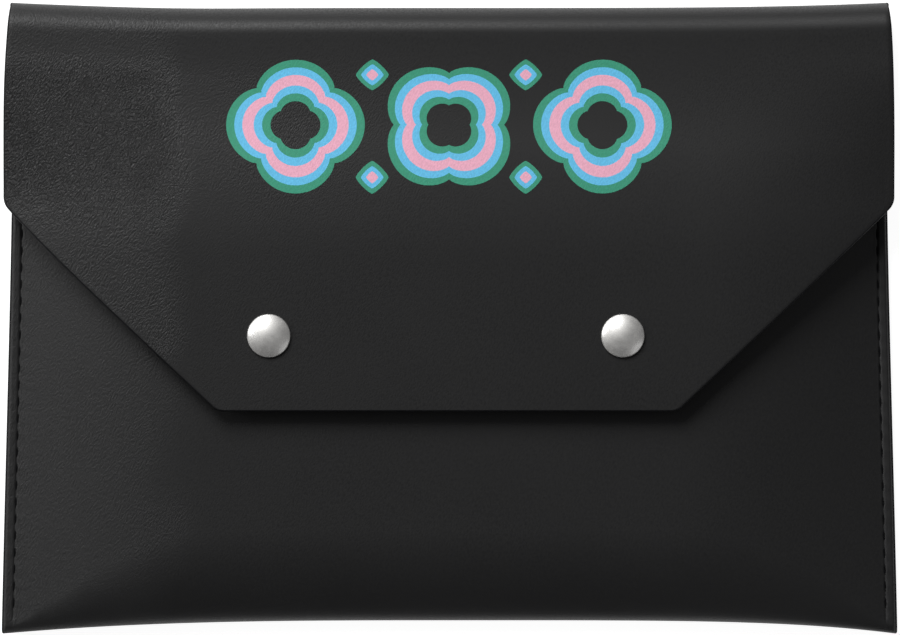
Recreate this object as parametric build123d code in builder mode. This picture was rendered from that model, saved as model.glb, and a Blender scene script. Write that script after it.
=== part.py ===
"""Leather pouch for a folded game card, with a flap that two snaps hold shut. Millimetres, +Z up.

The pouch is one long leather blank. It folds at the bottom into a pocket that is stitched down both sides,
and rolls over at the top into a flap with slanted corners. A thin lining backs the leather throughout.
It lies on its back: X runs across it, Y from the bottom fold up to the roll, and Z out of its front.
"""

from build123d import *
from math import asin, copysign, cos, degrees, pi, radians, sin
import os

# Outline of the pouch
bottom_width = 240.0  # across the corners of the bottom fold
top_width = 234.0  # across the back, where it turns up into the roll
pouch_height = 169.0  # from the bottom fold's corners to the top of the roll
bottom_pull = 3.5  # how far the filled pocket draws the middle of the bottom fold up
pull_bend = 1.35  # power by which the fold curves from its straight middle down to its corners

# Sheets
leather = 1.3
lining = 0.4
glue_gap = 0.05  # between the leather and its lining
lining_parting = 0.2  # between the lining's two walls, inside a side seam

# Filled shape of the pocket
pocket_depth = 12.0  # outside, over the flat middle
seam_rise = 2.0  # how far the bottom corners stand off the table
seam_margin = 3.6  # width of the flat edge that the stitching runs in
side_slope = 54.0  # width over which each side climbs to the flat middle
fold_underside = 4.5  # radius of the bottom fold, underneath
fold_slope = 24.0  # length over which the front climbs from the bottom fold
seam_fold = 2.6  # that length at the seams, where the fold is stitched flat

# Mouth, roll and flap
mouth_drop = 14.5  # from the top of the roll down to the front wall's edge
flap_rest = 0.15  # between the front wall and the flap, where the flap leaves the roll
snap_stack = 3.8  # space between the front wall and the flap, at the snaps
roll_width = 235.2
flap_width = 237.0  # across the flap's side corners
flap_side = 53.0  # from the top of the roll down to the flap's side corners
flap_length = 109.3  # from the top of the roll down to the flap's lower edge
flap_tip_width = 124.0  # length of the lower edge, between the flap's slanted sides
flap_climb = 62.0  # length over which the flap climbs from the roll to its snaps
side_corner = 5.0  # rounding of the flap's side corners
tip_corner = 4.5  # rounding of the flap's lower corners
crease_gap = 0.3  # between the leather's parts, at each crease where it bends

# Side stitching
stitch_pitch = 4.5
stitch_inset = 2.8  # from the cut edge
stitch_bottom = 5.5  # from the bottom fold's corner to the first needle hole
stitch_top = 2.0  # from the last needle hole to the mouth, at the least
thread = 0.7
stitch_crown = 0.35  # how far a stitch stands out of the front
stitch_sink = 0.3  # how deep the thread is drawn in at each needle hole

# Snap fasteners
snap_spacing = 94.5
snap_shift = 1.0  # how far left of the middle the pair of snaps was set
snap_height = 19.8  # from the flap's lower edge up to the snaps
post_radius = 1.45  # outside of the tubes that are riveted through the leather
post_bore = 1.1
post_clearance = 0.05
rivet = 0.3  # thickness of a tube's spread end
rivet_spread = 0.6  # how far it spreads
cap_radius = 5.8
cap_dome = 2.6
cap_edge = 0.8  # height of the cap's upright side
cap_sheet = 0.4
cap_curl = 1.0  # width of the rim that is curled in under the post's disc
cap_curl_sheet = 0.2
post_disc_radius = 5.2
stud_base_radius = 5.0
stud_base = 0.4
stud_neck_radius = 2.1
stud_neck = 1.1  # from the base up to where the neck swells
stud_head_radius = 2.4
stud_swell = 0.3
stud_side = 0.2
stud_shoulder = 0.4
stud_top_radius = 2.0
eyelet_radius = 4.6
eyelet_flange = 0.45
socket_radius = 5.3
socket_ceiling = 0.5
socket_gap = 0.3  # between the socket and the stud's base
socket_clearance = 0.35  # between the socket's mouth and the stud's head
socket_lip = 0.2
socket_groove = 0.8  # height of the groove that holds the ring spring
socket_groove_radius = 3.2
spring_wire = 0.7  # width of the ring spring's flat wire
spring_flat = 0.5  # its height
spring_grip = 0.2  # how much smaller the ring spring is than the stud's head
spring_turn = 320.0

# Sizes that follow
half_height = pouch_height / 2
seam_line = bottom_width / 2 - seam_margin  # where each side starts to climb from its flat edge
level_edge = seam_line - side_slope  # half the width of the flat middle
backed = leather + glue_gap + lining  # a wall of the pouch, with its lining
lining_inset = leather + glue_gap
seam_depth = 2 * backed + lining_parting
roll_radius = (pocket_depth + flap_rest + backed) / 2
roll_start = half_height - roll_radius  # where the back turns up into the roll
mouth = half_height - mouth_drop
flap_top = pocket_depth + snap_stack + backed  # the flap's outer face, at the snaps
flap_tip = half_height - flap_length
flap_rise = snap_stack - flap_rest
snap_y = flap_tip + snap_height
snaps = {"left": -snap_shift - snap_spacing / 2, "right": -snap_shift + snap_spacing / 2}
crease_angle = 45.0  # the roll bends an eighth of a turn from each of its ends
crease_half_gap = degrees(crease_gap / 2 / roll_radius)
hole_radius = post_radius + post_clearance

os.makedirs("parts", exist_ok=True)


def write(piece, name):
    """Labels a finished piece and writes it to its own file."""
    piece.part.label = name
    export_step(piece.part, f"parts/{name}.step")


# Pocket: the lower part of the blank, as hairpin sections that run up the back, round the fold and up the front


def between(low, high, part):
    return low + (high - low) * part


class Section:
    """The pocket's height and depth at one station, a distance out from the middle of the bottom fold."""

    def __init__(self, out):
        climb = (seam_line - abs(out)) / side_slope
        full = sin(pi / 2 * min(max(climb, 0), 1))
        corner = max(0, (abs(out) - level_edge) / (bottom_width / 2 - level_edge))
        self.depth = between(seam_depth, pocket_depth, full)
        self.rise = between(seam_rise, 0, full)
        self.under = between(seam_depth / 2, fold_underside, full)
        self.reach = between(seam_fold, fold_slope, full)
        self.nose = bottom_pull * (1 - corner**pull_bend)
        self.roll = half_height + roll_start
        self.mouth = half_height + mouth

    def back(self, along):
        """Height of the back's outer face, at a distance along the back from the bottom corners."""
        return self.rise * (self.roll - along) / (self.roll - self.nose - self.under)

    def front(self, along):
        """Height of the front's outer face, past the fold."""
        return self.back(along) + self.depth


def station(out):
    """An upright plane through one line of the back. Outside the level middle, the lines lean with the side seams."""
    lean = max(0, abs(out) - level_edge) / (bottom_width / 2 - level_edge) * (bottom_width - top_width) / 2
    low = Vector(out, -half_height, 0)
    high = Vector(out - copysign(lean, out), roll_start, 0)
    along = (high - low).normalized()
    return Plane(origin=low, x_dir=along, z_dir=along.cross(Vector(0, 0, 1)))


def hairpin(out, inset, ply):
    """One section of a sheet whose outer face lies inset below the leather's outer face."""
    at = Section(out)
    low = at.nose + at.under
    high = at.nose + at.reach
    belly = at.rise + at.under
    bend = crease_angle - crease_half_gap
    tip = (cos(radians(bend - 90)), sin(radians(bend - 90)))
    swing = [radians(180 - 22.5 * step) for step in range(5)]
    with BuildSketch(station(out)) as sketch:
        with BuildLine():
            for skin in (inset, inset + ply):
                CenterArc((at.roll, roll_radius), roll_radius - skin, -90, arc_size=bend)
                Line((at.roll, skin), (low, at.rise + skin))
                CenterArc((low, belly), at.under - skin, 180, arc_size=90)
                across, up = at.reach - skin, at.depth - at.under - skin
                Polyline(*[(high + across * cos(turn), belly + up * sin(turn)) for turn in swing])
                Line((high, at.rise + at.depth - skin), (at.mouth, at.front(at.mouth) - skin))
            Line((at.mouth, at.front(at.mouth) - inset), (at.mouth, at.front(at.mouth) - inset - ply))
            Line(
                (at.roll + (roll_radius - inset) * tip[0], roll_radius + (roll_radius - inset) * tip[1]),
                (at.roll + (roll_radius - inset - ply) * tip[0], roll_radius + (roll_radius - inset - ply) * tip[1]),
            )
        make_face()
    return sketch.sketch


slope = [between(level_edge, seam_line, step / 3) for step in range(4)] + [bottom_width / 2]


def pocket(inset, ply):
    """The folded sheet: a straight middle, and two sides that slope down to the seams, with the snaps' holes."""
    with BuildPart() as sheet:
        extrude(hairpin(-level_edge, inset, ply), amount=2 * level_edge)
        for side in (-1, 1):
            loft([hairpin(side * out, inset, ply) for out in slope], ruled=True)
        with Locations(*[(x, snap_y, pocket_depth) for x in snaps.values()]):
            Hole(hole_radius, depth=backed + 1)
    return sheet


pocket_shell = pocket(0, leather)
write(pocket_shell, "pocket_shell")

pocket_lining = pocket(lining_inset, lining)
write(pocket_lining, "pocket_lining")

# Side seams: one row of lock stitches along each side, through both walls and the linings between them

for name, side in {"left": -1, "right": 1}.items():
    out = side * (bottom_width / 2 - stitch_inset)
    at = Section(out)
    count = int((at.mouth - stitch_top - stitch_bottom) / stitch_pitch)
    holes = [stitch_bottom + stitch_pitch * step for step in range(count + 1)]
    with BuildPart() as seam_thread:
        with BuildSketch(station(out)):
            with BuildLine():
                for start, end in zip(holes, holes[1:]):
                    crown = (start + end) / 2
                    Polyline(
                        (start, at.front(start) - stitch_sink + thread / 2),
                        (crown, at.front(crown) + stitch_crown),
                        (end, at.front(end) - stitch_sink + thread / 2),
                    )
                    Line((start, at.back(start)), (end, at.back(end)))
                for hole in (holes[0], holes[-1]):
                    Line((hole, at.back(hole)), (hole, at.front(hole) - stitch_sink + thread / 2))
            make_face()
            for start, end in zip(holes, holes[1:]):
                with BuildLine():
                    Polyline(
                        (start + thread, at.front(start) - stitch_sink - thread / 2),
                        (start + thread, at.back(start) + stitch_sink + thread),
                        (end, at.back(end) + stitch_sink + thread),
                        (end, at.front(end) - stitch_sink - thread / 2),
                        close=True,
                    )
                make_face(mode=Mode.SUBTRACT)
        extrude(amount=thread / 2, both=True)
    write(seam_thread, f"{name}_seam_thread")

# Roll and flap: the leather goes on over the roll, creased an eighth of a turn from each end of it


def arc_point(radius, angle):
    """A point of the roll's section, at an angle from its outermost line."""
    return (roll_start + radius * cos(radians(angle)), roll_radius + radius * sin(radians(angle)))


def roll_outline(length):
    """The roll and the flap seen from the front, down to the flap's lower edge."""
    with BuildSketch() as outline:
        with BuildLine():
            side = Polyline(
                (0, half_height),
                (roll_width / 2, half_height),
                (flap_width / 2, half_height - flap_side),
                (flap_tip_width / 2, half_height - length),
                (0, half_height - length),
            )
            mirror(side, about=Plane.YZ)
        make_face()
        corners = outline.vertices().group_by(Axis.Y)
        fillet(corners[0], tip_corner)
        fillet(outline.vertices().group_by(Axis.X)[0] + outline.vertices().group_by(Axis.X)[-1], side_corner)
    return outline.sketch


def spine(inset, ply):
    """The middle of the roll, between its two creases."""
    turn = crease_angle - crease_half_gap
    with BuildPart() as sheet:
        with BuildSketch(Plane.YZ):
            with BuildLine():
                CenterArc((roll_start, roll_radius), roll_radius - inset, -turn, arc_size=2 * turn)
                CenterArc((roll_start, roll_radius), roll_radius - inset - ply, -turn, arc_size=2 * turn)
                for angle in (-turn, turn):
                    Line(arc_point(roll_radius - inset, angle), arc_point(roll_radius - inset - ply, angle))
            make_face()
        extrude(amount=roll_width / 2, both=True)
    return sheet


def flap(inset, ply):
    """The end of the roll and the flap, which climbs gently to lie level over the snaps."""
    start = crease_angle + crease_half_gap
    sweep = ((flap_climb / 2) ** 2 + (flap_rise / 2) ** 2) / flap_rise
    lean = degrees(asin(flap_climb / 2 / sweep))
    roll_top = 2 * roll_radius
    with BuildPart() as sheet:
        with BuildSketch(Plane.YZ):
            with BuildLine():
                for skin in (inset, inset + ply):
                    CenterArc((roll_start, roll_radius), roll_radius - skin, start, arc_size=90 - start)
                    CenterArc((roll_start, roll_top + sweep), sweep + skin, -90, arc_size=-lean)
                    CenterArc((roll_start - flap_climb, flap_top - sweep), sweep - skin, 90 - lean, arc_size=lean)
                    Line((roll_start - flap_climb, flap_top - skin), (flap_tip, flap_top - skin))
                Line((flap_tip, flap_top - inset), (flap_tip, flap_top - inset - ply))
                Line(arc_point(roll_radius - inset, start), arc_point(roll_radius - inset - ply, start))
            make_face()
        extrude(amount=flap_width / 2, both=True)
        add(roll_outline(flap_length))
        extrude(amount=flap_top, mode=Mode.INTERSECT)
        with Locations(*[(x, snap_y, flap_top) for x in snaps.values()]):
            Hole(hole_radius, depth=backed + 1)
    return sheet


write(spine(0, leather), "fold_spine")
write(spine(lining_inset, lining), "fold_lining")
write(flap(0, leather), "flap_leather")
write(flap(lining_inset, lining), "flap_lining")

# Snaps: a cap and a socket riveted together through the flap, and a stud riveted to the front wall

stud_top = pocket_depth + stud_base + stud_neck + stud_swell + stud_side + stud_shoulder
socket_bottom = pocket_depth + stud_base + socket_gap
socket_top = pocket_depth + snap_stack
socket_bore = stud_head_radius + socket_clearance
spring_level = socket_bottom + socket_lip + socket_groove / 2
spring_radius = stud_head_radius - spring_grip + spring_wire / 2
disc_level = flap_top + cap_curl_sheet + post_clearance


def turned(x, points, name):
    """A turned or drawn metal piece on a snap's axis, from half of its section as radius and height."""
    with BuildPart() as piece:
        with BuildSketch(Plane(origin=(x, snap_y, 0), x_dir=(1, 0, 0), z_dir=(0, -1, 0))):
            with BuildLine():
                Polyline(*points, close=True)
            make_face()
        revolve(axis=Axis((x, snap_y, 0), (0, 0, 1)))
    write(piece, name)


for side, x in snaps.items():
    turned(
        x,
        [
            (hole_radius, pocket_depth),
            (stud_base_radius, pocket_depth),
            (stud_base_radius, pocket_depth + stud_base),
            (stud_neck_radius, pocket_depth + stud_base),
            (stud_neck_radius, pocket_depth + stud_base + stud_neck),
            (stud_head_radius, stud_top - stud_shoulder - stud_side),
            (stud_head_radius, stud_top - stud_shoulder),
            (stud_top_radius, stud_top),
            (hole_radius, stud_top),
        ],
        f"{side}_stud",
    )
    turned(
        x,
        [
            (post_bore, pocket_depth - backed - eyelet_flange),
            (eyelet_radius, pocket_depth - backed - eyelet_flange),
            (eyelet_radius, pocket_depth - backed),
            (post_radius, pocket_depth - backed),
            (post_radius, stud_top),
            (post_radius + rivet_spread, stud_top),
            (post_radius + rivet_spread, stud_top + rivet),
            (post_bore, stud_top + rivet),
        ],
        f"{side}_stud_eyelet",
    )
    turned(
        x,
        [
            (hole_radius, socket_top),
            (socket_radius, socket_top),
            (socket_radius, socket_bottom),
            (socket_bore, socket_bottom),
            (socket_bore, socket_bottom + socket_lip),
            (socket_groove_radius, socket_bottom + socket_lip),
            (socket_groove_radius, socket_bottom + socket_lip + socket_groove),
            (socket_bore, socket_bottom + socket_lip + socket_groove),
            (socket_bore, socket_top - socket_ceiling),
            (hole_radius, socket_top - socket_ceiling),
        ],
        f"{side}_socket",
    )
    turned(
        x,
        [
            (post_bore, socket_top - socket_ceiling - rivet),
            (post_radius + rivet_spread, socket_top - socket_ceiling - rivet),
            (post_radius + rivet_spread, socket_top - socket_ceiling),
            (post_radius, socket_top - socket_ceiling),
            (post_radius, disc_level),
            (post_disc_radius, disc_level),
            (post_disc_radius, disc_level + rivet),
            (post_bore, disc_level + rivet),
        ],
        f"{side}_cap_post",
    )

    with BuildPart() as cap:
        with BuildSketch(Plane(origin=(x, snap_y, flap_top), x_dir=(1, 0, 0), z_dir=(0, -1, 0))):
            with BuildLine():
                inside = cap_radius - cap_sheet
                crown = cap_dome - cap_edge
                dome = [(cap_radius * share, cap_dome - crown * share**2) for share in (0, 0.35, 0.7, 1)]
                Polyline(
                    *dome,
                    (cap_radius, 0),
                    (cap_radius - cap_curl, 0),
                    (cap_radius - cap_curl, cap_curl_sheet),
                    (inside, cap_curl_sheet),
                    (inside, cap_edge),
                    (inside / 2, cap_dome - crown / 4 - cap_sheet),
                    (0, cap_dome - crown / 4 - cap_sheet),
                    close=True,
                )
            make_face()
        revolve(axis=Axis((x, snap_y, 0), (0, 0, 1)))
    write(cap, f"{side}_cap")

    with BuildPart() as ring_spring:
        with BuildSketch(Plane(origin=(x, snap_y, spring_level), x_dir=(1, 0, 0), z_dir=(0, -1, 0))):
            with Locations((spring_radius, 0)):
                Rectangle(spring_wire, spring_flat)
        revolve(axis=Axis((x, snap_y, 0), (0, 0, 1)), revolution_arc=spring_turn)
    write(ring_spring, f"{side}_snap_spring")
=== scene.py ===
"""Looks of a black leather pouch for a folded game card, closed with two snaps, in metres."""

from math import asin, atan2, cos, pi, radians, sin

import bpy
import numpy as np
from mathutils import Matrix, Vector


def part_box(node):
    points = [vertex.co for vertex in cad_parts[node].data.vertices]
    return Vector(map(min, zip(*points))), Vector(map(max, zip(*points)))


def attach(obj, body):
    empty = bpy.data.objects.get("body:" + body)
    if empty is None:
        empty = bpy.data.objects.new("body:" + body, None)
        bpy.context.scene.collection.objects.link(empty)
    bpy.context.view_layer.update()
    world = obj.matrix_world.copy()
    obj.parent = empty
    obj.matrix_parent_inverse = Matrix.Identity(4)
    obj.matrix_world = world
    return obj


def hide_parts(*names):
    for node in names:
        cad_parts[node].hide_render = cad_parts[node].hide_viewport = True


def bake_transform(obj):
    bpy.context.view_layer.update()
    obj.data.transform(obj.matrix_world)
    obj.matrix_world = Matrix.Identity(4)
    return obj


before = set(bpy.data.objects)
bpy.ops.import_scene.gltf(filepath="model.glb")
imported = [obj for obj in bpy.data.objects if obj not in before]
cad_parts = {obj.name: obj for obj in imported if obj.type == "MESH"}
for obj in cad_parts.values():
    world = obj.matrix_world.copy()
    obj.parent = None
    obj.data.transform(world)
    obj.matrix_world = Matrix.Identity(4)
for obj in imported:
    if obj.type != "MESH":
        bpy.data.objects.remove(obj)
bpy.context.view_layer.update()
mm = 0.001


# Pocket. One blank of black coated leather, folded at the bottom, so that its front and back are a single
# piece. The filled pocket is pillowed: it slopes down to the stitched sides and to the fold, and the stitches
# draw a narrow groove into both faces. Its edges are burnished round and dressed with black edge paint.

shell_low, shell_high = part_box("pocket_shell")
half_bottom = shell_high[0]
bottom = shell_low[1]
pocket_depth = shell_high[2]
leather = 1.3 * mm
roll_radius = 6.95 * mm
roll_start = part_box("fold_spine")[1][1] - roll_radius
half_top = half_bottom - 3 * mm
mouth = 70 * mm
edge_round = 0.45 * mm
stitch_pitch = 4.5 * mm
stitch_inset = 2.8 * mm
stitch_first = 5.5 * mm
stitch_count = 32
groove_depth, groove_width = 0.44 * mm, 0.34 * mm
hole_depth, hole_width, hole_length = 0.10 * mm, 0.30 * mm, 0.35 * mm
pucker_depth, pucker_reach = 0.05 * mm, 1.4 * mm
margin_depth, margin_reach = 0.08 * mm, 1.8 * mm
bevel_start, bevel_curve = 2.0 * mm, 1.2 / mm
side_draw = 0.55 * mm
roll_dip, left_dip = 1.53 * mm, 0.3 * mm


def mix(low, high, part):
    """The value a part of the way from low to high."""
    return low + (high - low) * part


def ramp(value, start, end):
    """0 before start, 1 after end, and smooth in between."""
    part = np.clip((value - start) / (end - start), 0, 1)
    return part * part * (3 - 2 * part)


class Hairpin:
    """Sections of the folded pocket, at distances out from its middle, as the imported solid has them."""

    full_width = half_bottom - 3.6 * mm
    side_slope = 54 * mm
    roll = roll_start - bottom
    mouth = mouth - bottom

    def __init__(self, out):
        full = np.sin(pi / 2 * np.clip((self.full_width - np.abs(out)) / self.side_slope, 0, 1))
        share = np.minimum(np.abs(out) / half_bottom, 1)
        pulled = 1 - share ** np.where(out < 0, 3, 4.3)
        self.out = out
        self.depth = mix(3.7 * mm, pocket_depth, full)
        self.rise = mix(2 * mm, 0, full)
        self.under = mix(1.85 * mm, 4.5 * mm, full)
        self.reach = mix(2.6 * mm, 24 * mm, full)
        self.nose = 3.6 * mm * pulled - 0.6 * mm
        self.low = self.nose + self.under
        self.high = self.nose + self.reach
        self.lean = np.clip(2 * share - 1, 0, 1) * (half_bottom - half_top)

    def back(self, along):
        """Height of the back wall over the table."""
        return self.rise * (self.roll - along) / (self.roll - self.low)

    def point(self, along, height):
        """A place in the frame, from the distance along the section and the height over the table."""
        slant = np.hypot(self.lean, self.roll)
        across = self.out - np.sign(self.out) * along * self.lean / slant
        return np.stack(np.broadcast_arrays(across, bottom + along * self.roll / slant, height), axis=-1)


def seam_relief(out, along):
    """How far the stitches draw the face in: a groove with needle holes, beside a full and rounded edge."""
    beside = np.abs(out) - (half_bottom - stitch_inset)
    step = (along - stitch_first) / stitch_pitch
    sewn = ramp(step, -0.7, -0.1) * (1 - ramp(step, stitch_count + 0.1, stitch_count + 0.7))
    from_hole = (step - np.round(step)) * stitch_pitch
    wave = np.cos(2 * pi * step)
    groove = groove_depth * np.exp(-((beside / groove_width) ** 2)) * (0.68 - 0.32 * wave)
    hole = hole_depth * np.exp(-((beside / hole_width) ** 2) - (from_hole / hole_length) ** 2)
    pucker = pucker_depth * wave * np.exp(-np.abs(beside) / pucker_reach)
    margin = margin_depth * ramp(beside, -0.3 * mm, 0.05 * mm) * (1 - ramp(beside, 0.1 * mm, margin_reach))
    bevel = bevel_curve * np.clip(beside - bevel_start, 0, None) ** 2
    return sewn * (groove + hole + pucker) + margin + bevel


def settle(points, seamed=1):
    """The give of a filled leather pouch: its stitched sides are drawn in, and its top edge dips."""
    x, y, z = points[..., 0], points[..., 1], points[..., 2]
    share = np.clip(np.abs(x) / half_bottom, 0, 1)
    up = np.clip((y - bottom) / (roll_start - bottom), 0, 1)
    drawn_in = side_draw * np.sin(pi * up**1.6) * share**4 * seamed
    dip = roll_dip * (1 - share**4) + left_dip * np.exp(-(((x + 72 * mm) / (25 * mm)) ** 2))
    return np.stack([x - np.sign(x) * drawn_in, y - dip * ramp(y, 45 * mm, 80 * mm), z], axis=-1)


def new_piece(name, points, faces, materials, places=None, crease=None):
    """An object with smooth faces, creased past an angle in degrees, and with its places on the blank."""
    mesh = bpy.data.meshes.new(name)
    mesh.from_pydata(np.asarray(points).tolist(), [], faces)
    mesh.polygons.foreach_set("use_smooth", [True] * len(faces))
    for material in materials:
        mesh.materials.append(material)
    if places is not None:
        layer = mesh.uv_layers.new(name="blank")
        corners = np.zeros(len(mesh.loops), dtype=np.int32)
        mesh.loops.foreach_get("vertex_index", corners)
        layer.data.foreach_set("uv", places[corners].ravel())
    if crease is not None:
        mesh.set_sharp_from_angle(angle=radians(crease))
    piece = bpy.data.objects.new(name, mesh)
    bpy.context.collection.objects.link(piece)
    return piece


def sheet(name, outer, inner, blank, rim, materials, flat_rows=()):
    """A closed sheet between the grids of its two faces, with edges that bulge out by rim.

    Where the sheet goes on into the next one, in flat_rows, its edge is flat.
    """
    rows, columns = outer.shape[:2]
    border = [(0, c) for c in range(columns)]
    border += [(r, columns - 1) for r in range(1, rows)]
    border += [(rows - 1, c) for c in range(columns - 2, -1, -1)]
    border += [(r, 0) for r in range(rows - 2, 0, -1)]
    place = tuple(np.array(border).T)
    top, below, flat = outer[place], inner[place], blank[place]
    run = np.roll(top, -1, axis=0) - np.roll(top, 1, axis=0)
    outward = np.cross(top - below, run)
    outward /= np.linalg.norm(outward, axis=1)[:, None]
    bulge = np.array([0.0 if r in flat_rows and 0 < c < columns - 1 else rim for r, c in border])
    for spot, (r, c) in enumerate(border):
        if r in flat_rows and c in (0, columns - 1):
            outward[spot] = (1 if outer[r, c][0] > 0 else -1, 0, 0)
    turns = [pi * k / 6 for k in range(1, 6)]
    rings = [mix(top, below, (1 - cos(a)) / 2) + outward * bulge[:, None] * sin(a) for a in turns]
    points = np.concatenate([outer.reshape(-1, 3), inner.reshape(-1, 3)] + rings)
    places = np.concatenate([blank.reshape(-1, 2)] * 2 + [flat] * len(turns))
    grid = np.arange(rows * columns).reshape(rows, columns)
    quads = np.stack([grid[:-1, :-1], grid[:-1, 1:], grid[1:, 1:], grid[1:, :-1]], axis=-1).reshape(-1, 4)
    loops = [grid[place]]
    loops += [2 * rows * columns + k * len(border) + np.arange(len(border)) for k in range(len(turns))]
    loops += [grid[place] + rows * columns]
    bands = [
        np.stack([a, b, np.roll(b, -1), np.roll(a, -1)], axis=-1) for a, b in zip(loops, loops[1:])
    ]
    faces = np.concatenate([quads, quads[:, ::-1] + rows * columns] + bands)
    piece = new_piece(name, points, faces.tolist(), materials, places, crease=50)
    slots = [0] * len(quads) + [1] * (len(faces) - len(quads))
    piece.data.polygons.foreach_set("material_index", slots)
    piece.data.update()
    return piece


def new_material(name, colour, roughness):
    """A material with its node tree and its Principled shader."""
    material = bpy.data.materials.new(name)
    material.use_nodes = True
    shader = material.node_tree.nodes["Principled BSDF"]
    shader.inputs["Base Color"].default_value = (*colour, 1)
    shader.inputs["Roughness"].default_value = roughness
    return material, material.node_tree, shader


def node(tree, kind, settings=(), **inputs):
    """A shader node with its settings, and its inputs set or linked, by name or by number as i0, i1."""
    made = tree.nodes.new(kind)
    for key, value in dict(settings).items():
        setattr(made, key, value)
    for key, value in inputs.items():
        socket = made.inputs[int(key[1:])] if key[0] == "i" and key[1:].isdigit() else made.inputs[key]
        if isinstance(value, bpy.types.NodeSocket):
            tree.links.new(value, socket)
        else:
            socket.default_value = value
    return made


def reckoned(tree, operation, *values):
    """The result of a Math node, such as a sum or a product."""
    inputs = {f"i{place}": value for place, value in enumerate(values)}
    return node(tree, "ShaderNodeMath", {"operation": operation}, **inputs).outputs[0]


def scaled(tree, value, low, high, at_low=0.0, at_high=1.0, kind="LINEAR"):
    """A value drawn out from low and high to at_low and at_high, and held there beyond them."""
    ends = {"i1": low, "i2": high, "i3": at_low, "i4": at_high}
    return node(tree, "ShaderNodeMapRange", {"interpolation_type": kind}, i0=value, **ends).outputs[0]


def noise(tree, position, scale, detail, distortion=0.0):
    """Cloudy noise about 0.5, with patches 1 / scale of a metre wide."""
    settings = {"Vector": position, "Scale": scale, "Detail": detail, "Distortion": distortion}
    return node(tree, "ShaderNodeTexNoise", **settings).outputs["Fac"]


def tint(tree, shader, part, dark, light):
    """Colours a shader from dark, where part is 0, to light, where it is 1."""
    colours = {"i6": (*dark, 1), "i7": (*light, 1)}
    mixed = node(tree, "ShaderNodeMix", {"data_type": "RGBA"}, i0=part, **colours)
    tree.links.new(mixed.outputs[2], shader.inputs["Base Color"])


def emboss(tree, shader, height, distance, strength):
    """Gives a shader the relief of a height from 0 to 1, a distance deep."""
    bump = node(tree, "ShaderNodeBump", Strength=strength, Distance=distance, Height=height)
    tree.links.new(bump.outputs[0], shader.inputs["Normal"])


def blank_place(tree):
    """The place on the flat blank that the grain and the weave follow."""
    return node(tree, "ShaderNodeUVMap", {"uv_map": "blank"}).outputs[0]


def grain_height(tree, position):
    """Fine slanted streaks 0.4 mm apart, mixed in changing shares with small pebbles."""
    slant = (0, 0, radians(64))
    streak_size = (0.84 * mm, 0.39 * mm, 1)
    pebble_size = (0.70 * mm, 0.50 * mm, 1)
    texture = {"vector_type": "TEXTURE"}
    combed = node(tree, "ShaderNodeMapping", texture, i0=position, i2=slant, i3=streak_size).outputs[0]
    streaks = scaled(tree, noise(tree, combed, 1.0, 1, 0.5), 0.34, 0.66)
    packed = node(tree, "ShaderNodeMapping", texture, i0=position, i2=slant, i3=pebble_size).outputs[0]
    cells = node(tree, "ShaderNodeTexVoronoi", {"feature": "DISTANCE_TO_EDGE"}, Vector=packed, Scale=1.0)
    pebbles = scaled(tree, cells.outputs["Distance"], 0.0, 0.3, kind="SMOOTHSTEP")
    part = scaled(tree, noise(tree, position, 38, 2), 0.4, 0.7, 0.1, 0.45)
    return node(tree, "ShaderNodeMix", {"data_type": "FLOAT"}, i0=part, i2=streaks, i3=pebbles).outputs[0]


def leather_material(name, colour, grain):
    """Coated leather: a rounded grain with duller valleys, where painted shade darkens the colour, under a
    film that is a little uneven in gloss.

    The grain is full at the left, and polished down toward the right, round the roll and on the pocket, and
    where the flap's lower half is handled. Places are on the blank, which starts at the pocket's mouth.
    """
    material, tree, shader = new_material(name, colour, 0.5)
    position = blank_place(tree)
    height = grain_height(tree, position)
    # Painted shade: the base colour falls to 0.45 of itself in the grain's valleys.
    tint(tree, shader, height, [c * 0.45 for c in colour], colour)
    parts = node(tree, "ShaderNodeSeparateXYZ", i0=position)
    along = parts.outputs[1]
    drifting = reckoned(tree, "MULTIPLY_ADD", noise(tree, position, 30, 2), 0.03, parts.outputs[0])
    left_end = scaled(tree, drifting, -64 * mm, -55 * mm, 1.0, 0.25)
    rightward = scaled(tree, drifting, -45 * mm, 35 * mm, 1.0, 0.16)
    on_pocket = scaled(tree, along, -350 * mm, -343 * mm, 1.0, 0.26)
    on_flap_tip = scaled(tree, along, -395 * mm, -375 * mm, 0.42, 1.0)
    uneven = scaled(tree, noise(tree, position, 22, 3), 0.3, 0.7, 0.39, 0.42)
    film_roughness = reckoned(tree, "MULTIPLY_ADD", left_end, 0.04, uneven)
    valleys = scaled(tree, height, 0.0, 1.0, 0.16, 0.0)
    rough = reckoned(tree, "ADD", film_roughness, valleys)
    tree.links.new(rough, shader.inputs["Roughness"])
    strength = scaled(tree, noise(tree, position, 130, 2), 0.32, 0.58, 0.8, 1.0)
    for kept in (left_end, rightward, on_pocket, on_flap_tip):
        strength = reckoned(tree, "MULTIPLY", strength, kept)
    emboss(tree, shader, height, grain, strength)
    return material


def edge_material():
    """Edge paint: smooth and black, with the slight waves of a dressed edge."""
    material, tree, shader = new_material("edge paint", (0.008, 0.008, 0.009), 0.65)
    shader.inputs["Specular IOR Level"].default_value = 0.12
    position = node(tree, "ShaderNodeTexCoord").outputs["Object"]
    emboss(tree, shader, noise(tree, position, 600, 3), 0.08 * mm, 0.6)
    return material


black_leather = leather_material("pebbled leather", (0.0065, 0.0065, 0.0068), 0.26 * mm)
edge_paint = edge_material()

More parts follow.
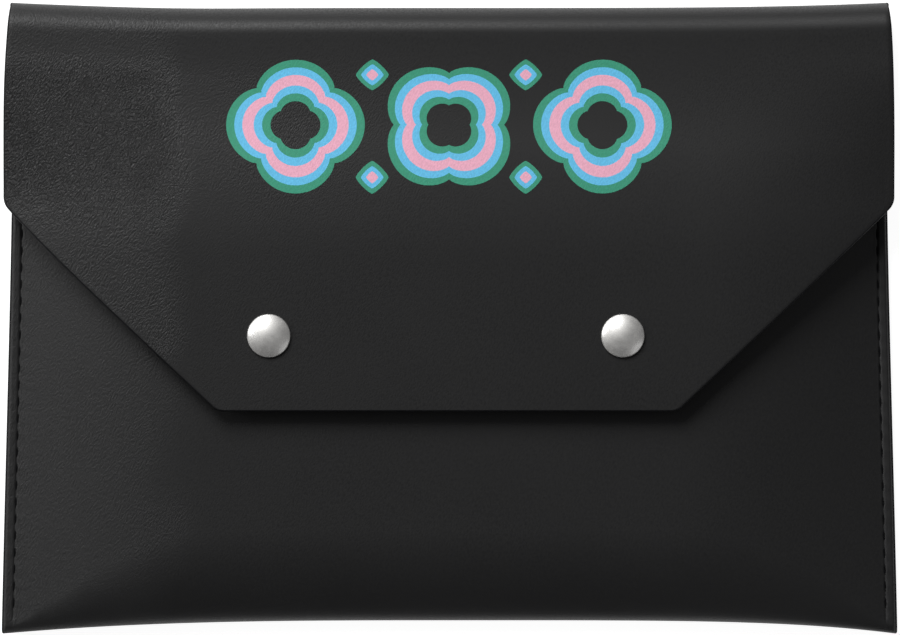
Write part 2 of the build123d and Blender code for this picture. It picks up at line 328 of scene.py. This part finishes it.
# Columns of the mesh from the edge in, close together where the stitches draw the face in.
near_seam = np.concatenate([
    np.arange(half_bottom - 0.15 * mm, half_bottom - 4.6 * mm, -0.2 * mm),
    np.arange(half_bottom - 4.8 * mm, half_bottom - 7.5 * mm, -0.6 * mm),
    np.arange(half_bottom - 8.3 * mm, 86 * mm, -1.5 * mm),
    np.linspace(83 * mm, 5.5 * mm, 15),
])
across = np.concatenate([-near_seam, [0], near_seam[::-1]])
back_join = 60 * mm - bottom
fine_rows = (241, 17, 11, 227)


def pocket_face(out, skin, rows):
    """One face of the folded sheet, at a depth skin under its outside, from the mouth down and up the back.

    The rows are those of the front wall, the front and the back of the bottom fold, and the back wall.
    """
    at = Hairpin(out[None, :])
    front_rows, nose_rows, belly_rows, back_rows = rows
    faces = []
    pressed = 1 - 0.85 * min(skin / leather, 1)
    front = mix(at.mouth, at.high, np.linspace(0, 1, front_rows)[:, None])
    relief = seam_relief(out[None, :], front) * pressed
    slope = at.rise + at.depth + (at.back(at.mouth) - at.rise) * (front - at.high) / (at.mouth - at.high)
    faces.append(at.point(front, slope - skin - relief))
    turn = np.linspace(pi / 2, pi, nose_rows)[1:, None]
    along = at.high + (at.reach - skin) * np.cos(turn)
    relief = seam_relief(out[None, :], along) * np.sin(turn) * pressed
    faces.append(at.point(along, at.rise + at.under + (at.depth - at.under - skin) * np.sin(turn) - relief))
    turn = np.linspace(pi, 3 * pi / 2, belly_rows)[1:, None]
    belly = at.under - skin
    faces.append(at.point(at.low + belly * np.cos(turn), at.rise + at.under + belly * np.sin(turn)))
    back = mix(at.low, back_join, np.linspace(0, 1, back_rows)[1:, None])
    relief = seam_relief(out[None, :], back) * ramp(back, at.low, at.low + 2 * mm) * pressed
    faces.append(at.point(back, at.back(back) + skin + relief))
    return np.concatenate(faces)


def blank_of(face, start=0.0):
    """Places on the flat blank, for the grain: the distance across, and the distance along the middle."""
    middle = face[:, face.shape[1] // 2]
    steps = np.linalg.norm(np.diff(middle, axis=0), axis=1)
    down = start - np.concatenate([[0], np.cumsum(steps)])
    return np.stack(np.broadcast_arrays(face[..., 0], down[:, None]), axis=-1)


outside = pocket_face(across, 0, fine_rows)
inside = pocket_face(across, leather, fine_rows)
blank = blank_of(outside)
pocket_end = blank[-1, 0, 1]
pocket_leather = sheet(
    "pocket_leather", settle(outside), settle(inside), blank, edge_round,
    [black_leather, edge_paint], [len(outside) - 1],
)
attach(pocket_leather, "pocket")
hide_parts("pocket_shell")


# Roll. The same blank goes on up the back and over the top, where it bends round in a half circle. It is the
# hinge of the flap.

half_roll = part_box("fold_spine")[1][0]


def roll_face(out, skin):
    """The back above the pocket's piece, then the first quarter of the roll, up to its outermost line."""
    at = Hairpin(out[None, :])
    back = mix(back_join, at.roll, np.linspace(0, 1, 14)[:, None])
    faces = [at.point(back, at.back(back) + skin)]
    turn = np.linspace(-pi / 2, 0, 15)[1:, None]
    wide = mix(half_top, half_roll, ramp(turn, -pi / 2, 0)) / half_bottom
    over = at.point(np.full_like(turn, at.roll), skin)
    x = over[..., 0] * wide / (half_top / half_bottom)
    y = roll_start + (roll_radius - skin) * np.cos(turn) + 0 * x
    z = roll_radius + (roll_radius - skin) * np.sin(turn) + 0 * x
    faces.append(np.stack([x, y, z], axis=-1))
    return np.concatenate(faces)


outside = roll_face(across, 0)
inside = roll_face(across, leather)
blank = blank_of(outside, pocket_end)
roll_end = blank[-1, 0, 1]
roll_leather = sheet(
    "roll_leather", settle(outside), settle(inside), blank, edge_round,
    [black_leather, edge_paint], [0, len(outside) - 1],
)
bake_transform(roll_leather)
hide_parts("fold_spine")


# Flap. The end of the blank comes down over the front wall. Its lower corners are cut off on a slant, and all
# its corners are rounded. It is not stitched: its lining is glued on, and the edge is dressed like the rest.

flap_low, flap_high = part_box("flap_leather")
flap_tip = flap_low[1]
flap_top = flap_high[2]
flap_climb = 62 * mm
flap_rise = flap_top - 2 * roll_radius
sweep = ((flap_climb / 2) ** 2 + (flap_rise / 2) ** 2) / flap_rise
lean = asin(flap_climb / 2 / sweep)
quarter = roll_radius * pi / 2
arc_length = sweep * lean
level_start = quarter + 2 * arc_length
flap_path = level_start + roll_start - flap_climb - flap_tip
corner_turns = 10
side_sag = 3.9 * mm
left_shift, tip_shift = 0.15 * mm, 0.43 * mm
crown_height = 0.6 * mm


def flap_section(far, skin):
    """Y and Z of the flap's section, from a distance past the roll's outermost line and a depth inside."""
    far, skin = np.broadcast_arrays(far, skin)
    roll_turn = far / roll_radius
    dip_turn = (far - quarter) / sweep
    top_turn = (far - quarter - arc_length) / sweep
    spans = [far <= quarter, far <= quarter + arc_length, far <= level_start]
    y = np.select(
        spans,
        [
            roll_start + (roll_radius - skin) * np.cos(roll_turn),
            roll_start - (sweep + skin) * np.sin(dip_turn),
            roll_start - flap_climb + (sweep - skin) * np.sin(lean - top_turn),
        ],
        roll_start - flap_climb - (far - level_start),
    )
    z = np.select(
        spans,
        [
            roll_radius + (roll_radius - skin) * np.sin(roll_turn),
            2 * roll_radius + sweep - (sweep + skin) * np.cos(dip_turn),
            flap_top - sweep + (sweep - skin) * np.cos(lean - top_turn),
        ],
        flap_top - skin,
    )
    return y, z


def flap_outline():
    """Half of the flap's outline seen from the front, with its corners rounded: x and y from the top down."""
    corners = [
        (half_roll, roll_start + roll_radius, 0),
        (flap_high[0] + 0.8 * mm, 30.35 * mm, 4.6 * mm),
        (61.8 * mm, flap_tip, 4 * mm),
        (0, flap_tip, 0),
    ]
    points = [Vector(corners[0][:2])]
    for (bx, by, _), (px, py, radius), (nx, ny, _) in zip(corners, corners[1:], corners[2:]):
        corner = Vector((px, py))
        back = (Vector((bx, by)) - corner).normalized()
        on = (Vector((nx, ny)) - corner).normalized()
        half = back.angle(on) / 2
        middle = corner + (back + on).normalized() * radius / sin(half)
        reach = radius / np.tan(half)
        start, end = corner + back * reach - middle, corner + on * reach - middle
        first = atan2(start.y, start.x)
        bend = (atan2(end.y, end.x) - first + pi) % (2 * pi) - pi
        for turn in range(corner_turns + 1):
            angle = first + bend * turn / corner_turns
            points.append(middle + radius * Vector((cos(angle), sin(angle))))
    return np.array(points)


outline = flap_outline()
side_end, slant_start, slant_end = outline[1, 1], outline[corner_turns + 1, 1], outline[corner_turns + 2, 1]
far_table = np.linspace(0, flap_path, 2000)
down_table = flap_section(far_table, 0.0)[0]


def far_at(y):
    """Distance from the roll's outermost line to the line of the flap at height y."""
    return np.interp(-y, -down_table, far_table)


def half_width_at(y):
    """Half of the flap's width: its outline, with the sides and the slants a little bowed outward."""
    down = np.clip((outline[0, 1] - y) / (outline[0, 1] - side_end), 0, 1)
    below = np.clip((slant_start - y) / (slant_start - slant_end), 0, 1)
    bow = 0.75 * mm * np.sin(pi * down**0.75) + 0.6 * mm * np.sin(pi * below**0.7)
    return np.interp(-y, -outline[:, 1], outline[:, 0]) + bow


stops = np.concatenate([
    quarter * np.linspace(0, 1, 15),
    far_at(np.linspace(roll_start, side_end, 26)[1:]),
    far_at(outline[2 : corner_turns + 2, 1]),
    far_at(np.linspace(slant_start, slant_end, 34)[1:]),
    far_at(outline[corner_turns + 3 :, 1]),
])
spread = np.concatenate([
    np.linspace(-1, -0.96, 5)[:-1],
    np.linspace(-0.96, 0.96, 61),
    np.linspace(0.96, 1, 5)[1:],
])


def flap_face(skin, spread, inset):
    """One face of the flap, at a depth skin under its outside, and inset from its outline at the sides."""
    y, z = flap_section(stops, skin)
    wide = half_width_at(flap_section(stops, 0.0)[0]) - inset
    x = wide[:, None] * spread[None, :]
    return np.stack(np.broadcast_arrays(x, y[:, None], z[:, None]), axis=-1)


def flap_blank(face):
    """Places of a face of the flap on the flat blank, below the roll's outermost line."""
    return np.stack(np.broadcast_arrays(face[..., 0], roll_end - stops[:, None]), axis=-1)


def hang(points):
    """The flap comes off the roll in a low crown, lies a little to the left, and hangs at its free sides."""
    points = settle(points, seamed=0)
    x, y, z = points[..., 0], points[..., 1], points[..., 2]
    sag = side_sag * np.clip((np.abs(x) - 69 * mm) / (49 * mm), 0, 1) ** 2
    shift = left_shift * (1 - ramp(y, 60 * mm, 80 * mm)) + tip_shift * (1 - ramp(y, 14 * mm, 32 * mm))
    level = (1 - 0.9 * ramp(x, -20 * mm, 100 * mm)) * (1 - ramp(-x, 68 * mm, 112 * mm))
    crown = crown_height * level * ramp(y, 28 * mm, 74 * mm) * (1 - ramp(y, 77 * mm, 84.5 * mm))
    return np.stack([x - shift, y, z + crown - sag * (1 - ramp(y, 30 * mm, 68 * mm))], axis=-1)


outside = flap_face(0.0, spread, edge_round)
inside = flap_face(leather, spread, edge_round)
flap_leather = sheet(
    "flap_leather_face", hang(outside), hang(inside), flap_blank(outside), edge_round,
    [black_leather, edge_paint], [0],
)
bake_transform(flap_leather)
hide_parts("flap_leather")


# Linings. A thin black fabric with a fine woven face, glued to the back of the leather all over. There is one
# length in the pocket, one round the roll, and one on the flap, cut a little smaller than the leather.

lining_skin = leather + 0.05 * mm
lining_back = lining_skin + 0.4 * mm
lining_rim = 0.12 * mm
lining_inset = 0.7 * mm
thread_gap = 0.45 * mm


def fabric_material():
    """Woven lining: fine crossing threads, dull and slightly mottled."""
    material, tree, shader = new_material("woven lining", (0.016, 0.016, 0.018), 0.85)
    shader.inputs["Sheen Weight"].default_value = 0.3
    position = blank_place(tree)
    threads = []
    for direction in ("X", "Y"):
        settings = {"bands_direction": direction}
        weave = {"Vector": position, "Scale": 2 * pi / 20 / thread_gap, "Distortion": 0.4}
        threads.append(node(tree, "ShaderNodeTexWave", settings, **weave).outputs["Fac"])
    tint(tree, shader, noise(tree, position, 260, 2), (0.010, 0.010, 0.011), (0.024, 0.024, 0.027))
    emboss(tree, shader, reckoned(tree, "MULTIPLY", *threads), 0.06 * mm, 0.8)
    return material


woven = fabric_material()
# The linings are smooth, so their mesh is coarser.
side_columns = np.concatenate([
    np.linspace(half_bottom - 0.3 * mm, 86 * mm, 22),
    np.linspace(78 * mm, 9 * mm, 8),
])
cut = np.concatenate([-side_columns, [0], side_columns[::-1]])
few_rows = (61, 15, 9, 41)
outside = pocket_face(cut, lining_skin, few_rows)
inside = pocket_face(cut, lining_back, few_rows)
pocket_lining = sheet(
    "pocket_lining_fabric", settle(outside), settle(inside), blank_of(outside), lining_rim,
    [woven, woven], [len(outside) - 1],
)
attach(pocket_lining, "pocket")
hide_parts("pocket_lining")

outside, inside = roll_face(cut, lining_skin), roll_face(cut, lining_back)
roll_lining = sheet(
    "roll_lining_fabric", settle(outside), settle(inside), blank_of(outside, pocket_end), lining_rim,
    [woven, woven], [0, len(outside) - 1],
)
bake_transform(roll_lining)
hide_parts("fold_lining")

spread = np.linspace(-1, 1, 41)
outside = flap_face(lining_skin, spread, lining_inset)
inside = flap_face(lining_back, spread, lining_inset)
flap_lining = sheet(
    "flap_lining_fabric", hang(outside), hang(inside), flap_blank(outside), lining_rim,
    [woven, woven], [0],
)
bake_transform(flap_lining)
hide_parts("flap_lining")


# Side seams. One row of lock stitches down each side, in black bonded thread of three twisted plies. Each
# stitch shows on both faces, lies a little slanted, and dives into a needle hole at either end.

thread_radius = 0.24 * mm
plies = 3
ply_depth = 0.16
ply_twist = 1.5 * mm
stitch_slant = 0.20 * mm
thread_sink = 0.34 * mm
hole_dive = 0.75 * mm


def thread_material():
    """Bonded thread: black, with fine fibres along the twist."""
    material, tree, shader = new_material("bonded thread", (0.003, 0.003, 0.0035), 0.8)
    shader.inputs["Specular IOR Level"].default_value = 0.08
    position = node(tree, "ShaderNodeTexCoord").outputs["Object"]
    emboss(tree, shader, noise(tree, position, 5000, 2), 0.03 * mm, 0.5)
    return material


bonded_thread = thread_material()


def stitch_row(side, facing):
    """Points of one row of stitches: a grid of rings along each stitch, on the front or the back."""
    out = side * (half_bottom - stitch_inset)
    at = Hairpin(np.array([[out]]))
    steps = np.linspace(0, 1, 17)
    turn = np.linspace(0, 2 * pi, 16, endpoint=False)
    rows = []
    for stitch in range(stitch_count):
        along = stitch_first + (stitch + mix(0.055, 0.945, steps)) * stitch_pitch
        sunk = hole_dive * (1 - np.sin(pi * mix(0.04, 0.96, steps)) ** 0.36)
        face = at.back(along) + (at.depth if facing > 0 else 0)
        height = (face[0] - facing * (sunk + thread_sink)).ravel()
        slant = stitch_slant * (1 - 2 * steps) * side
        line = settle(at.point(along[:, None], height[:, None])[:, 0])
        line[:, 0] += slant
        run = np.gradient(line, axis=0)
        run /= np.linalg.norm(run, axis=1)[:, None]
        beside = np.cross(run, (0, 0, 1.0))
        beside /= np.linalg.norm(beside, axis=1)[:, None]
        above = np.cross(beside, run)
        twist = 2 * pi * along[:, None] / ply_twist / plies
        lobes = thread_radius * (1 - ply_depth * (1 + np.cos(plies * (turn[None, :] - twist))))
        ring = np.cos(turn)[None, :, None] * beside[:, None] + np.sin(turn)[None, :, None] * above[:, None]
        rows.append(line[:, None] + lobes[..., None] * ring)
    return rows


def stitches(name, side):
    """All the stitches of one side, each a closed thread with capped ends."""
    points, faces = [], []
    for rings in stitch_row(side, 1) + stitch_row(side, -1):
        first = len(points)
        count = rings.shape[1]
        points += rings.reshape(-1, 3).tolist()
        for r in range(rings.shape[0] - 1):
            for c in range(count):
                a, b = first + r * count + c, first + r * count + (c + 1) % count
                faces.append((a, b, b + count, a + count))
        faces.append(tuple(range(first + count - 1, first - 1, -1)))
        faces.append(tuple(range(first + (rings.shape[0] - 1) * count, first + rings.shape[0] * count)))
    return new_piece(name, points, faces, [bonded_thread])


for name, side in {"left": -1, "right": 1}.items():
    row = stitches(f"{name}_stitches", side)
    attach(row, "pocket")
    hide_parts(f"{name}_seam_thread")


# Print. A row of open flowers with small diamonds between them, printed on the flap in three layers of ink:
# a green outline, a blue band, and a pink line down its middle. The ink is a thin film over the grain.

print_middle = 51.5 * mm
flower_spacing = 41 * mm
diamond_rise = 14.2 * mm
film = 0.05 * mm
inks = {"green": (0.040, 0.342, 0.209), "blue": (0.141, 0.597, 0.939), "pink": (0.973, 0.479, 0.624)}
ring_inks = ("green", "blue", "pink", "blue", "green")
ring_radii = [17.0 * mm, 15.0 * mm, 13.0 * mm, 10.2 * mm, 8.2 * mm, 6.2 * mm]
ring_petals = [1.9 * mm, 1.7 * mm, 1.5 * mm, 1.2 * mm, 0.9 * mm, 0.6 * mm]
diamond_sizes = {
    "green": (4.4 * mm, 3.0 * mm),
    "blue": (3.0 * mm, 1.6 * mm),
    "pink": (1.6 * mm, 0.01 * mm),
}


def on_flap(x, y, above):
    """Points a little above the flap's face, and their places on the blank."""
    far = far_at(y)
    level, height = flap_section(far, -above)
    points = hang(np.stack([x, level, height], axis=-1))
    return points, np.stack([x, roll_end - far], axis=-1)


def ink_material(name, colour):
    """Printing ink: satin, a little darker and lower in the valleys of the leather's grain."""
    material, tree, shader = new_material(name + " ink", colour, 0.5)
    height = grain_height(tree, blank_place(tree))
    tint(tree, shader, height, [c * 0.82 for c in colour], colour)
    emboss(tree, shader, height, 0.02 * mm, 1.0)
    return material


class Ink:
    """All the bands printed in one ink: closed films between two outlines, laid on the flap."""

    def __init__(self):
        self.points, self.places, self.faces, self.count = [], [], [], 0

    def band(self, inner, outer):
        """Adds the film between two closed lines that have as many points as each other."""
        size = len(inner)
        flat = mix(inner[None], outer[None], np.linspace(0, 1, 4)[:, None, None])
        upper, places = on_flap(flat[..., 0], flat[..., 1], film)
        lower, _ = on_flap(flat[..., 0], flat[..., 1], -film)
        grid = np.arange(4 * size).reshape(4, size)
        turn = np.roll(grid, -1, axis=1)
        quads = np.stack([grid[:-1], grid[1:], turn[1:], turn[:-1]], axis=-1).reshape(-1, 4)
        inner_wall = np.stack([grid[0], turn[0], turn[0] + 4 * size, grid[0] + 4 * size], axis=-1)
        outer_wall = np.stack([turn[3], grid[3], grid[3] + 4 * size, turn[3] + 4 * size], axis=-1)
        faces = np.concatenate([quads, quads[:, ::-1] + 4 * size, inner_wall, outer_wall])
        self.faces.append(faces + self.count)
        self.points += [upper.reshape(-1, 3), lower.reshape(-1, 3)]
        self.places += [places.reshape(-1, 2)] * 2
        self.count += 8 * size

    def lay(self, name, material):
        """Makes the piece."""
        points, places = np.concatenate(self.points), np.concatenate(self.places)
        faces = np.concatenate(self.faces).tolist()
        piece = new_piece(name, points, faces, [material], places, crease=50)
        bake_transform(piece)


def flower_line(radius, petal, turned):
    """A closed line round a four-petalled flower."""
    angle = np.linspace(0, 2 * pi, 160, endpoint=False)
    reach = radius + petal * (np.abs(np.cos(2 * (angle - turned))) ** 0.8 - 0.6) * 2
    return np.stack([reach * np.cos(angle), reach * np.sin(angle)], axis=-1)


def diamond_line(size):
    """A diamond with softly rounded corners."""
    angle = np.linspace(0, 2 * pi, 64, endpoint=False)
    reach = size / (np.abs(np.cos(angle)) ** 1.25 + np.abs(np.sin(angle)) ** 1.25) ** (1 / 1.25)
    return np.stack([reach * np.cos(angle), reach * np.sin(angle)], axis=-1)


printed = {name: Ink() for name in inks}
for column, turned in {-1: 0, 0: pi / 4, 1: 0}.items():
    middle = np.array([column * flower_spacing, print_middle])
    lines = [flower_line(radius, petal, turned) + middle for radius, petal in zip(ring_radii, ring_petals)]
    for name, outer, inner in zip(ring_inks, lines, lines[1:]):
        printed[name].band(inner, outer)
for column in (-0.5, 0.5):
    for row in (-1, 1):
        middle = np.array([column * flower_spacing, print_middle + row * diamond_rise])
        for name, (big, small) in diamond_sizes.items():
            printed[name].band(diamond_line(small) + middle, diamond_line(big) + middle)
for name, colour in inks.items():
    printed[name].lay(f"print_{name}", ink_material(name, colour))


# Snaps. Domed caps of satin nickel on brass, curled under at the rim and pressed on over the posts. Sockets,
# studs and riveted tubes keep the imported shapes, in a brighter nickel, and so do the ring springs, in steel.

cap_edge = 0.8 * mm
rim_bend = 0.55 * mm
rim_low = 0.32 * mm
cap_wall = 0.4 * mm
dome_rings = 26
cap_steps = 96


def metal_material(name, colour, roughness):
    """Plated metal: fine polishing marks and small changes of gloss."""
    material, tree, shader = new_material(name, colour, roughness)
    shader.inputs["Metallic"].default_value = 1
    position = node(tree, "ShaderNodeTexCoord").outputs["Object"]
    gloss = scaled(tree, noise(tree, position, 700, 3), 0.3, 0.7, roughness - 0.04, roughness + 0.05)
    tree.links.new(gloss, shader.inputs["Roughness"])
    emboss(tree, shader, noise(tree, position, 9000, 2), 0.01 * mm, 0.25)
    return material


cap_nickel = metal_material("satin nickel", (0.72, 0.71, 0.69), 0.56)
polish = cap_nickel.node_tree.nodes["Principled BSDF"].inputs
polish["Metallic"].default_value = 0.92
polish["Coat Weight"].default_value = 1
polish["Coat Roughness"].default_value = 0.22
polish["Coat IOR"].default_value = 2.0
snap_nickel = metal_material("plated snap", (0.60, 0.59, 0.57), 0.30)
spring_steel = metal_material("spring wire", (0.50, 0.50, 0.51), 0.28)


def cap_profile(radius, dome):
    """Half of the cap's section, as radius and height: over the dome, round the rim, and back inside."""
    crown = dome - cap_edge
    ball = (radius**2 + crown**2) / (2 * crown)
    inner_ball = ball - rim_bend
    rounding = asin((radius - rim_bend) / inner_ball)
    turns = [rounding * k / dome_rings for k in range(dome_rings + 1)]
    profile = [(ball * sin(a), dome - ball + ball * cos(a)) for a in turns]
    middle = dome - ball + inner_ball * cos(rounding)
    turns = [mix(rounding, pi / 2, k / 8) for k in range(1, 9)]
    profile += [(radius - rim_bend + rim_bend * sin(a), middle + rim_bend * cos(a)) for a in turns]
    profile += [(radius, rim_low)]
    turns = [pi / 2 * k / 6 for k in range(1, 7)]
    profile += [(radius - rim_low + rim_low * cos(a), rim_low - rim_low * sin(a)) for a in turns]
    profile += [(radius - 1.0 * mm, 0.02 * mm), (radius - 1.0 * mm, 0.22 * mm)]
    profile += [(radius - 0.55 * mm, 0.24 * mm), (radius - 0.45 * mm, middle * 0.9)]
    profile += [(r * 0.93, z - cap_wall) for r, z in profile[dome_rings - 2 :: -4]]
    return profile


for side in ("left", "right"):
    low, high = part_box(f"{side}_cap")
    middle = Vector(((low[0] + high[0]) / 2, (low[1] + high[1]) / 2, low[2]))
    profile = cap_profile((high[0] - low[0]) / 2, high[2] - low[2])
    points, faces = [], []
    for step in range(cap_steps):
        angle = 2 * pi * step / cap_steps
        points += [middle + Vector((r * cos(angle), r * sin(angle), z)) for r, z in profile[1:-1]]
    length = len(profile) - 2
    top, under = len(points), len(points) + 1
    points += [middle + Vector((0, 0, profile[0][1])), middle + Vector((0, 0, profile[-1][1]))]
    for step in range(cap_steps):
        this, following = step * length, (step + 1) % cap_steps * length
        faces += [(this + k, this + k + 1, following + k + 1, following + k) for k in range(length - 1)]
        faces += [(top, this, following), (under, following + length - 1, this + length - 1)]
    cap = new_piece(f"{side}_dome_cap", points, faces, [cap_nickel], crease=60)
    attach(cap, "flap")
    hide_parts(f"{side}_cap")
    for part in ("stud", "stud_eyelet", "socket", "cap_post"):
        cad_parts[f"{side}_{part}"].material_slots[0].material = snap_nickel
    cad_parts[f"{side}_snap_spring"].material_slots[0].material = spring_steel


# Floor, lights and camera. The pouch lies on a plain white table. A broad soft light stands beyond its upper
# left corner, with two weak ones at its sides, and the camera looks straight down from 2 m.

just_below = 0.2 * mm
camera_height = 2.0

bpy.ops.mesh.primitive_plane_add(size=6, location=(0, 0, -just_below))
table = bpy.context.object
table.name = "table"
paper, tree, shader = new_material("white table", (0.4, 0.4, 0.4), 0.9)
rays = node(tree, "ShaderNodeLightPath").outputs
straight = reckoned(tree, "MAXIMUM", rays["Is Camera Ray"], rays["Is Glossy Ray"])
seen = reckoned(tree, "MAXIMUM", straight, rays["Is Transmission Ray"])
shader.inputs["Emission Color"].default_value = (1, 1, 1, 1)
tree.links.new(reckoned(tree, "MULTIPLY", seen, 0.92), shader.inputs["Emission Strength"])
table.data.materials.append(paper)

world = bpy.data.worlds.new("studio")
bpy.context.scene.world = world
world.use_nodes = True
world.node_tree.nodes["Background"].inputs["Color"].default_value = (0.10, 0.10, 0.102, 1)


def soft_light(name, place, size, power):
    """An oval lamp that shines on the pouch's middle."""
    lamp = bpy.data.lights.new(name, "AREA")
    lamp.shape = "ELLIPSE"
    lamp.size, lamp.size_y = size
    lamp.energy = power
    holder = bpy.data.objects.new(name, lamp)
    bpy.context.collection.objects.link(holder)
    holder.location = place
    holder.rotation_euler = (-Vector(place)).to_track_quat("-Z", "Y").to_euler()


soft_light("key", (-0.57, 1.17, 1.14), (1.10, 1.10), 27.5)
soft_light("side", (-0.85, 0.25, 0.50), (0.5, 0.4), 2.8)
soft_light("fill", (0.75, -0.60, 0.50), (0.9, 0.5), 1.1)

view = bpy.data.cameras.new("photographer")
view.sensor_width = 36
view.lens = 297.7
eye = bpy.data.objects.new("photographer", view)
bpy.context.collection.objects.link(eye)
eye.location = (0.13 * mm, -0.13 * mm, 4 * mm + camera_height)
bpy.context.scene.camera = eye
bpy.context.scene.view_settings.view_transform = "Standard"
